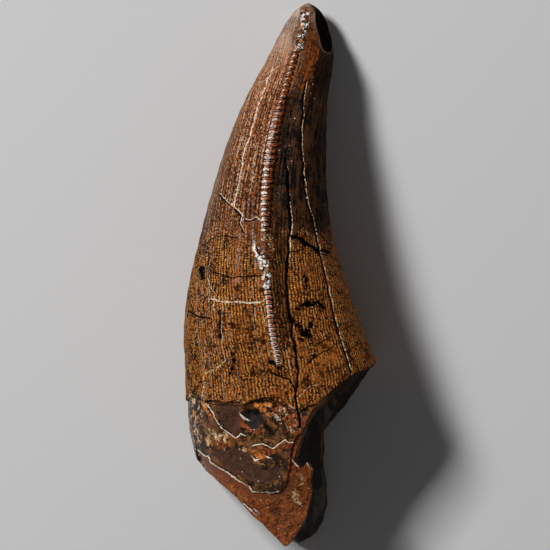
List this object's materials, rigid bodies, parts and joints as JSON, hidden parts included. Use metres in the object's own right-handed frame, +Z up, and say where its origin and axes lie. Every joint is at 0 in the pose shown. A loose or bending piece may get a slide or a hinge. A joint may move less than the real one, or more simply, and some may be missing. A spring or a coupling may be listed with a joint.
{
  "type": "fossil dinosaur tooth",
  "caption": "Thick curved fossil predator tooth with serrated edges, cracked enamel, a chipped root and an open pulp cavity, lying on its back edge.",
  "frame": {"origin": "middle of the patch of surface that the lying tooth covers", "axes": "+Y from the broken root towards the tip, +Z up through the serrated front edge, +X to the side the tip leans to"},
  "size_m": [0.0252, 0.0706, 0.0237],
  "materials": {
    "fossil_tooth": "satin fossil enamel, brown with darker cracks, duller on the root and in the breaks"
  },
  "bodies": {
    "root": {"tooth": "fossil_tooth"}
  },
  "joints": []
}
